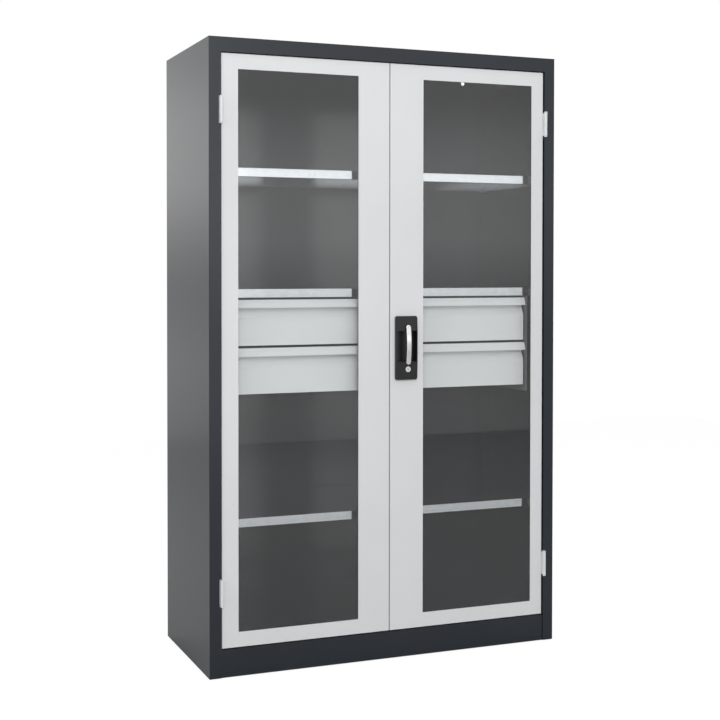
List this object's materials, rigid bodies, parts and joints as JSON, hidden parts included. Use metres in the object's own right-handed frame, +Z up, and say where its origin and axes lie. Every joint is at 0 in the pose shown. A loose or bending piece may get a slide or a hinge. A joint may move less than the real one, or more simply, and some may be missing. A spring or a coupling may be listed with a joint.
{
  "type": "heavy-duty storage cabinet",
  "caption": "Tall anthracite steel storage cabinet with light grey glazed double doors, galvanised shelves, full-width inner drawers and a bow-handle bolt lock.",
  "frame": {"origin": "floor level at the middle of the whole footprint, bow handle included", "axes": "+X to the viewer's right, +Y from the doors to the back, +Z up"},
  "size_m": [1.2, 0.5184, 1.95],
  "materials": {
    "carcass_paint": "anthracite grey powder coat, fine satin texture",
    "door_paint": "light grey powder coat, satin",
    "drawer_paint": "light grey powder coat, satin",
    "carrier_paint": "mid grey powder coat, satin",
    "galvanised_steel": "galvanised sheet, faint spangle, semi-bright",
    "bright_steel": "zinc-plated steel",
    "satin_chrome": "satin chrome",
    "clear_acrylic": "clear acrylic sheet, polished",
    "black_plastic": "moulded black plastic, fine texture"
  },
  "bodies": {
    "carcass": {"left_side_panel": "carcass_paint", "right_side_panel": "carcass_paint", "back_panel": "carcass_paint", "top_panel": "carcass_paint", "floor_panel": "carcass_paint", "plinth": "carcass_paint", "levelling_feet": "black_plastic", "upright_front_left": "carcass_paint", "upright_front_right": "carcass_paint", "upright_rear_left": "carcass_paint", "upright_rear_right": "carcass_paint", "upper_shelf": "galvanised_steel", "middle_shelf": "galvanised_steel", "lower_shelf": "galvanised_steel", "shelf_clips": "bright_steel", "drawer_carrier_left": "carrier_paint", "drawer_carrier_right": "carrier_paint", "slide_outer_rails": "bright_steel", "hinge_brackets": "door_paint", "hinge_pins": "bright_steel"},
    "left_door": {"left_door_pan": "door_paint", "left_pane": "clear_acrylic", "left_glazing_frame": "carcass_paint", "left_hinge_barrels": "door_paint", "left_door_stiffener": "door_paint"},
    "right_door": {"handle_housing": "black_plastic", "lock_case": "galvanised_steel", "rod_guides": "black_plastic", "lock_barrel": "satin_chrome", "right_door_pan": "door_paint", "right_pane": "clear_acrylic", "right_glazing_frame": "carcass_paint", "right_hinge_barrels": "door_paint"},
    "handle": {"bow_handle": "satin_chrome", "spindle": "bright_steel", "pinion": "bright_steel"},
    "key": {"lock_plug": "satin_chrome", "lock_cam": "bright_steel"},
    "upper_bolt": {"upper_rod": "bright_steel"},
    "lower_bolt": {"lower_rod": "bright_steel"},
    "upper_drawer": {"upper_drawer_box": "drawer_paint", "upper_drawer_front": "drawer_paint", "upper_inner_rails": "bright_steel"},
    "upper_runner": {"upper_mid_rails": "bright_steel"},
    "lower_drawer": {"lower_drawer_box": "drawer_paint", "lower_drawer_front": "drawer_paint", "lower_inner_rails": "bright_steel"},
    "lower_runner": {"lower_mid_rails": "bright_steel"}
  },
  "joints": [
    {"name": "right_door_swing", "type": "hinge", "parent": "carcass", "child": "right_door", "pos_m": [0.5625, -0.24875, 0.9975], "axis": [0, 0, 1], "range_deg": [0, 180]},
    {"name": "left_door_swing", "type": "hinge", "parent": "carcass", "child": "left_door", "pos_m": [-0.5625, -0.24875, 0.9975], "axis": [0, 0, -1], "range_deg": [0, 180]},
    {"name": "handle_turn", "type": "hinge", "parent": "right_door", "child": "handle", "pos_m": [0.0585, -0.24775, 1.0625], "axis": [0, -1, 0], "range_deg": [0, 90]},
    {"name": "upper_bolt_slide", "type": "slide", "parent": "right_door", "child": "upper_bolt", "axis": [0, 0, 1], "range_m": [0, 0.016]},
    {"name": "lower_bolt_slide", "type": "slide", "parent": "right_door", "child": "lower_bolt", "axis": [0, 0, -1], "range_m": [0, 0.016]},
    {"name": "key_turn", "type": "hinge", "parent": "right_door", "child": "key", "pos_m": [0.0585, -0.24775, 0.929], "axis": [0, -1, 0], "range_deg": [0, 90]},
    {"name": "upper_drawer_slide", "type": "slide", "parent": "carcass", "child": "upper_drawer", "axis": [0, -1, 0], "range_m": [0, 0.36]},
    {"name": "upper_runner_slide", "type": "slide", "parent": "carcass", "child": "upper_runner", "axis": [0, -1, 0], "range_m": [0, 0.18]},
    {"name": "lower_drawer_slide", "type": "slide", "parent": "carcass", "child": "lower_drawer", "axis": [0, -1, 0], "range_m": [0, 0.36]},
    {"name": "lower_runner_slide", "type": "slide", "parent": "carcass", "child": "lower_runner", "axis": [0, -1, 0], "range_m": [0, 0.18]}
  ],
  "couplings": [
    {"joint": "left_door_swing", "follows": "right_door_swing", "ratio": 1},
    {"joint": "upper_bolt_slide", "follows": "handle_turn", "m_per_rad": 0.01},
    {"joint": "lower_bolt_slide", "follows": "handle_turn", "m_per_rad": 0.01},
    {"joint": "upper_drawer_slide", "follows": "right_door_swing", "m_per_rad": 0.075},
    {"joint": "upper_runner_slide", "follows": "right_door_swing", "m_per_rad": 0.0375},
    {"joint": "lower_drawer_slide", "follows": "right_door_swing", "m_per_rad": 0.075},
    {"joint": "lower_runner_slide", "follows": "right_door_swing", "m_per_rad": 0.0375}
  ]
}
